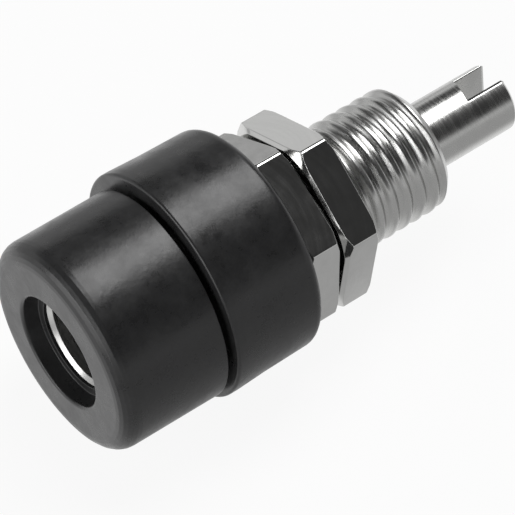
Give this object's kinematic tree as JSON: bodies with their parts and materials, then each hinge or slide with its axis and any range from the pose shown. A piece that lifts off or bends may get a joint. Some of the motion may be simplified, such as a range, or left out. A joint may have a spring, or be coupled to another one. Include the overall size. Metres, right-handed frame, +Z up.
{
  "type": "panel banana socket",
  "caption": "Insulated panel socket for a 4 mm banana plug: black moulded cap and sleeve on a threaded metal body with hexagon nuts and a slotted solder pin.",
  "frame": {"origin": "on the socket's axis, in the plane where the front cap seats on the panel", "axes": "+Y runs along the axis from the plug's mouth to the solder pin, and +Z is up with the axis level, as in an upright panel"},
  "size_m": [0.0109, 0.0242, 0.0108],
  "materials": {
    "plated_brass": "turned, nickel plated, satin",
    "black_plastic": "moulded, black, semi-gloss",
    "nut_plate": "nickel plated, bright"
  },
  "bodies": {
    "socket": {"socket_body": "plated_brass", "front_cap": "black_plastic"},
    "sleeve": {"rear_sleeve": "black_plastic"},
    "clamp_nut": {"clamp_nut": "nut_plate"},
    "lock_nut": {"lock_nut": "nut_plate"}
  },
  "joints": [
    {"name": "sleeve_slide", "type": "slide", "parent": "socket", "child": "sleeve", "axis": [0, 1, 0], "range_m": [0, 0.003]},
    {"name": "clamp_nut_turn", "type": "hinge", "parent": "sleeve", "child": "clamp_nut", "pos_m": [0, 0.00595, 0], "axis": [0, 1, 0], "range_deg": [0, 1440]},
    {"name": "lock_nut_slide", "type": "slide", "parent": "clamp_nut", "child": "lock_nut", "axis": [0, 1, 0], "range_m": [0, 0.002]}
  ],
  "couplings": [
    {"joint": "clamp_nut_turn", "follows": "sleeve_slide", "rad_per_m": 8377.6}
  ]
}
